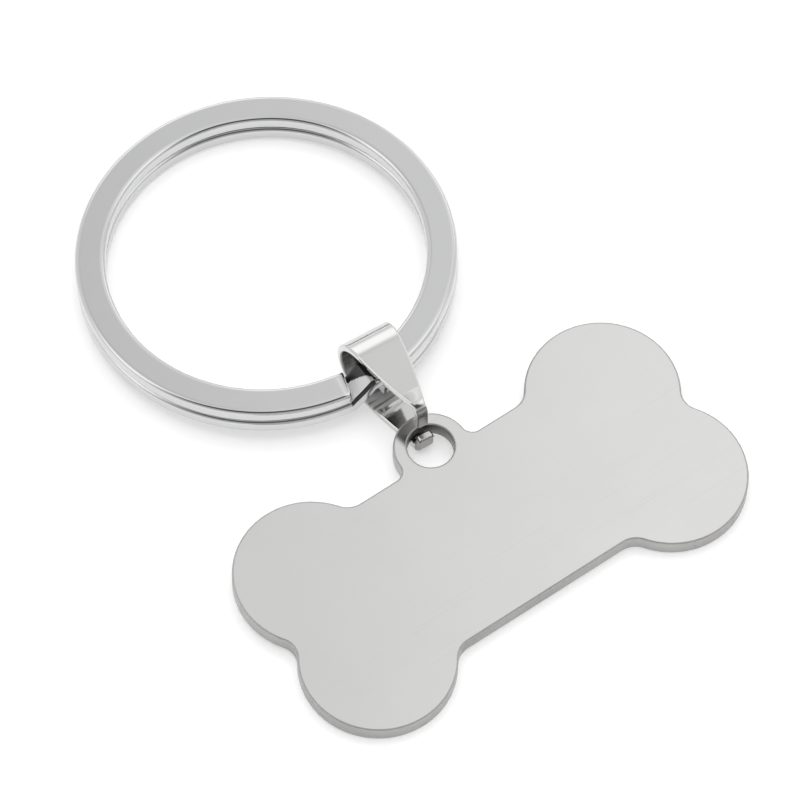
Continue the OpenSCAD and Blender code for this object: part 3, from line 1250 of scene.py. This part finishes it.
@dataclass
class Studio:
    """The white table, the light tent that the steel mirrors, and the camera.

    Lengths in millimetres, angles in degrees. The pairs of edges are heights or slants from 0 to
    1, between which one tone goes over into the next.
    """

    aim: Triple = (1.209, -3.056, 0.0)
    heading: float = 35.4354
    elevation: float = 60.0658
    distance: float = 466.774
    lens: float = 270.0
    sensor: float = 36.0
    clip: Pair = (0.01, 20.0)
    table_size: float = 6.0
    table_z: float = -0.02
    table_tone: float = 0.8
    table_seen_tone: float = 0.68
    table_glow: float = 0.42
    fill: float = 0.45
    key: float = 2.9
    key_lean: float = 8.0
    key_edges: Pair = (35.0, 15.0)
    lamps: tuple[Lamp, ...] = (
        Lamp(turned=-14, rise=26, reach=22, soft=19, tone=0.58),
        Lamp(turned=30, rise=26, reach=22, soft=19, tone=0.42),
        Lamp(turned=84, rise=52, reach=24, soft=16, tone=0.42),
        Lamp(turned=-104, rise=50, reach=32, soft=18, tone=0.55),
    )
    gap_tones: Pair = (0.60, 0.08)
    gap_tone_edges: Pair = (0.50, 0.74)
    gap_sides: Pair = (0.34, 0.62)
    gap_top: Pair = (0.12, 0.42)
    gap_sill: Pair = (0.03, 0.10)
    cloth_spread: float = 2.5
    cloth_stops: tuple[Pair, ...] = (
        (0.0, 0.74), (0.25, 0.75), (0.35, 0.90), (0.575, 0.94), (0.725, 1.19), (1.0, 1.0))
    cloth_low_edges: Pair = (0.72, 0.80)
    cloth_high_edges: Pair = (0.94, 0.98)
    plain_tone: float = 0.92

    def set_camera(self) -> None:
        """Puts the camera at the photograph's place."""
        data = bpy.data.cameras.new("photo_camera")
        data.lens, data.sensor_width = self.lens, self.sensor
        data.clip_start, data.clip_end = self.clip
        camera = bpy.data.objects.new("photo_camera", data)
        bpy.context.scene.collection.objects.link(camera)
        look = pointing(self.heading, -self.elevation)
        camera.location = Vector(self.aim) * MM - look * self.distance * MM
        camera.rotation_euler = look.to_track_quat("-Z", "Y").to_euler()
        bpy.context.scene.camera = camera

    def set_table(self) -> None:
        """Lays the white table under the object.

        What sees the table, such as the camera or the steel, sees it with a glow that makes it
        white. It lights the object as a plain table does.
        """
        Bench.clear()
        bpy.ops.mesh.primitive_plane_add(size=self.table_size,
                                         location=(0, 0, self.table_z * MM))
        table = Bench.added("table")
        material = bpy.data.materials.new("table_white")
        material.use_nodes = True
        material.node_tree.nodes.clear()
        nodes = Nodes(material.node_tree)
        path = nodes.add("ShaderNodeLightPath").outputs
        seen = nodes.math("MAXIMUM", path["Is Camera Ray"], path["Is Glossy Ray"])
        seen = nodes.math("MAXIMUM", seen, path["Is Transmission Ray"])
        plain, shown = (nodes.shader("ShaderNodeBsdfDiffuse", (tone, tone, tone, 1))
                        for tone in (self.table_tone, self.table_seen_tone))
        glow = nodes.shader("ShaderNodeEmission", WHITE, self.table_glow)
        shown = nodes.shader("ShaderNodeAddShader", shown, glow)
        nodes.add("ShaderNodeOutputMaterial", {
            "Surface": nodes.shader("ShaderNodeMixShader", seen, plain, shown)})
        table.data.materials.append(material)

    def set_world(self) -> None:
        """Lights everything evenly, with a light tent for the steel to mirror.

        The camera sees a white background. Matt surfaces get an even fill and a wide key light
        from almost overhead, and metal mirrors the tent.
        """
        world = bpy.data.worlds.new("light_tent")
        bpy.context.scene.world = world
        world.use_nodes = True
        world.cycles.sampling_method = "NONE"
        world.node_tree.nodes.clear()
        nodes = Nodes(world.node_tree)
        where = nodes.add("ShaderNodeTexCoord").outputs["Generated"]
        key = nodes.dot(where, pointing(self.heading, 90 - self.key_lean))
        edges = tuple(math.cos(math.radians(angle)) for angle in self.key_edges)
        tones = (nodes.step(key, edges, self.fill, self.fill + self.key),
                 self._tent_tone(nodes, where), WHITE)
        light, mirrored, white = (nodes.shader("ShaderNodeBackground", tone) for tone in tones)
        path = nodes.add("ShaderNodeLightPath").outputs
        shown = nodes.shader("ShaderNodeMixShader", path["Is Glossy Ray"], light, mirrored)
        clear = nodes.math("MAXIMUM", path["Is Camera Ray"], path["Is Transmission Ray"])
        nodes.add("ShaderNodeOutputWorld", {
            "Surface": nodes.shader("ShaderNodeMixShader", clear, shown, white)})

    def _tent_tone(self, nodes: Nodes, where: Socket) -> Socket:
        """Tone of the tent in each direction: its cloth, its lamps and its opening.

        The opening is on the side where the camera stands, and darkest behind the camera.

        Args:
            nodes: adds the nodes.
            where: the direction's socket.

        Returns:
            The tone's socket.
        """
        height = nodes.dot(where, (0.0, 0.0, 1.0))
        tone = self._cloth_tone(nodes, nodes.dot(where, pointing(self.heading + 90, 0)), height)
        for lamp in self.lamps:
            tone = nodes.math("ADD", tone, lamp.glow(nodes, where, self.heading))
        over_one = 1.0001
        level = nodes.math("SQRT", nodes.math("SUBTRACT", over_one,
                                              nodes.math("MULTIPLY", height, height)))
        behind = nodes.math("DIVIDE", nodes.dot(where, pointing(self.heading + 180, 0)), level)
        gap = nodes.math("MULTIPLY", nodes.step(behind, self.gap_sides), nodes.math(
            "MULTIPLY", nodes.step(level, self.gap_top), nodes.step(height, self.gap_sill)))
        return nodes.mix(gap, tone, nodes.step(height, self.gap_tone_edges, *self.gap_tones))

    def _cloth_tone(self, nodes: Nodes, across: Socket, height: Socket) -> Socket:
        """Tone of the tent's cloth, which grows lighter from left to right over the table.

        Args:
            nodes: adds the nodes.
            across: how far a direction points to the right.
            height: how far it points up.

        Returns:
            The tone's socket.
        """
        middle = 0.5
        place = nodes.math("MULTIPLY_ADD", across, self.cloth_spread, middle)
        cloth = nodes.add("ShaderNodeValToRGB", {0: place})
        stops = cloth.color_ramp.elements
        for position, _ in self.cloth_stops[1:-1]:
            stops.new(position)
        for stop, (_, tone) in zip(stops, self.cloth_stops):
            stop.color = (tone, tone, tone, 1)
        over = nodes.math("MULTIPLY", nodes.step(height, self.cloth_low_edges),
                          nodes.step(height, self.cloth_high_edges, 1.0, 0.0))
        return nodes.mix(over, self.plain_tone, cloth.outputs["Color"])

    def build(self) -> None:
        """Sets the camera, the table and the light, with colours shown as they are written."""
        bpy.context.scene.view_settings.view_transform = "Standard"
        self.set_camera()
        self.set_table()
        self.set_world()


def main() -> None:
    """Builds the object's pieces and the studio round them."""
    logging.basicConfig(level=logging.INFO, format="%(name)s: %(message)s")
    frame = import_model()
    lie = Lie()
    finisher = Finisher()
    makers = ((BoneTag(lie), Part.TAG), (SnapBail(lie), Part.BAIL), (SplitRing(lie), Part.RING))
    for maker, part in makers:
        node, body, slot = part.value
        piece = maker.build()
        maker.dress(piece, finisher)
        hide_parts(node)
        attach(piece, body)
        LOG.info("%s: %d faces, stands for %s", piece.name, len(piece.data.polygons), node)
    Studio().build()
    LOG.info("%d solids in the frame", len(frame["nodes"]))


if __name__ == "__main__":
    main()
